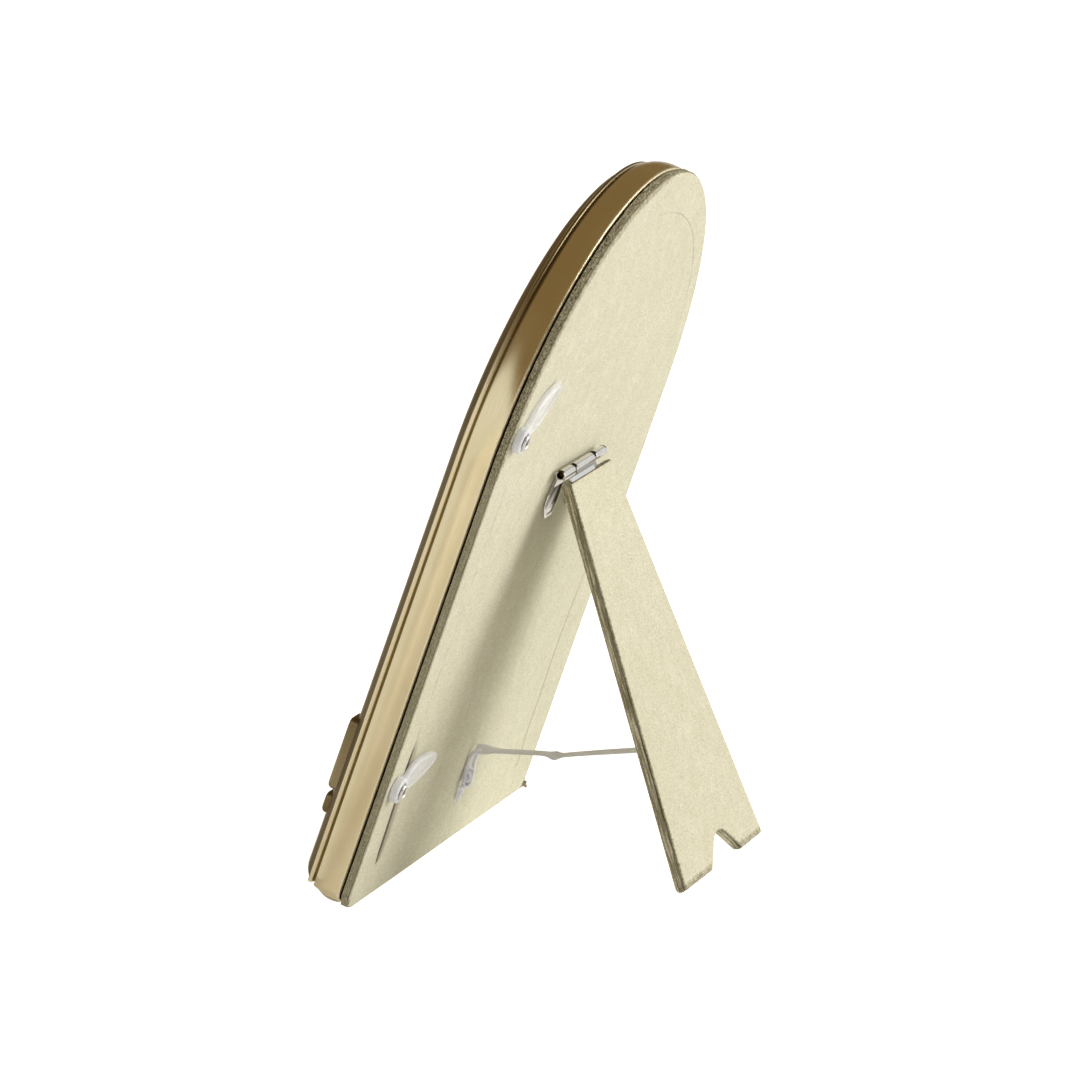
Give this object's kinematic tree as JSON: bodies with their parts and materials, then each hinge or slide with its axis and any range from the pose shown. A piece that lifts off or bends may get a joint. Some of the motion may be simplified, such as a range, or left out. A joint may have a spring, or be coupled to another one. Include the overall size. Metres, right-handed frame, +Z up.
{
  "type": "arched picture frame",
  "caption": "Arch-topped metal photo frame with a flocked back panel, swivelling turn buttons and a hinged easel strut held by a ribbon stay.",
  "frame": {"origin": "on the table, under the middle of the part's bounding box, between the frame's lower edge and the strut's foot", "axes": "+Z up, -Y the way the picture faces, +Y towards the strut, +X towards the side with the turn buttons"},
  "size_m": [0.126, 0.0816, 0.1641],
  "materials": {
    "gold_metal": "satin gold plating, brushed along the moulding and worn darker on the arch",
    "glass": "clear float glass",
    "paper": "plain matt paper, left blank",
    "filler": "raw corrugated board",
    "greyboard": "raw cut greyboard, layered and slightly frayed",
    "flock": "short cream flock, matt and slightly mottled",
    "clear_plastic": "clear moulded plastic, slightly cloudy",
    "nickel": "bright nickel plate with handling marks",
    "ribbon": "narrow woven satin ribbon, soft sheen"
  },
  "bodies": {
    "frame": {"frame_moulding": "gold_metal", "ornament_bar": "gold_metal", "ornament_stud": "gold_metal", "glass_pane": "glass", "picture_blank": "paper", "filler_board": "filler", "border_board": "greyboard", "door_board": "greyboard", "back_flock": "flock", "turn_button_rivet_upper": "nickel", "turn_button_rivet_lower": "nickel", "hinge_fixed_leaf": "nickel", "hinge_pin": "nickel", "stay_ribbon": "ribbon", "ribbon_knot": "ribbon"},
    "strut": {"strut_board": "greyboard", "strut_flock_rear": "flock", "strut_flock_front": "flock", "hinge_moving_leaf": "nickel"},
    "button_upper": {"turn_button_upper": "clear_plastic"},
    "button_lower": {"turn_button_lower": "clear_plastic"}
  },
  "joints": [
    {"name": "strut_fold", "type": "hinge", "parent": "frame", "child": "strut", "pos_m": [0, 0.00781, 0.0938], "axis": [1, 0, 0], "range_deg": [-37, 0], "deforming": ["stay_ribbon"]},
    {"name": "button_upper_turn", "type": "hinge", "parent": "frame", "child": "button_upper", "pos_m": [0.0579, 0.01226, 0.11072], "axis": [0, 0.9338, -0.3577], "continuous": true},
    {"name": "button_lower_turn", "type": "hinge", "parent": "frame", "child": "button_lower", "pos_m": [0.0579, -0.01929, 0.02836], "axis": [0, 0.9338, -0.3577], "continuous": true}
  ]
}
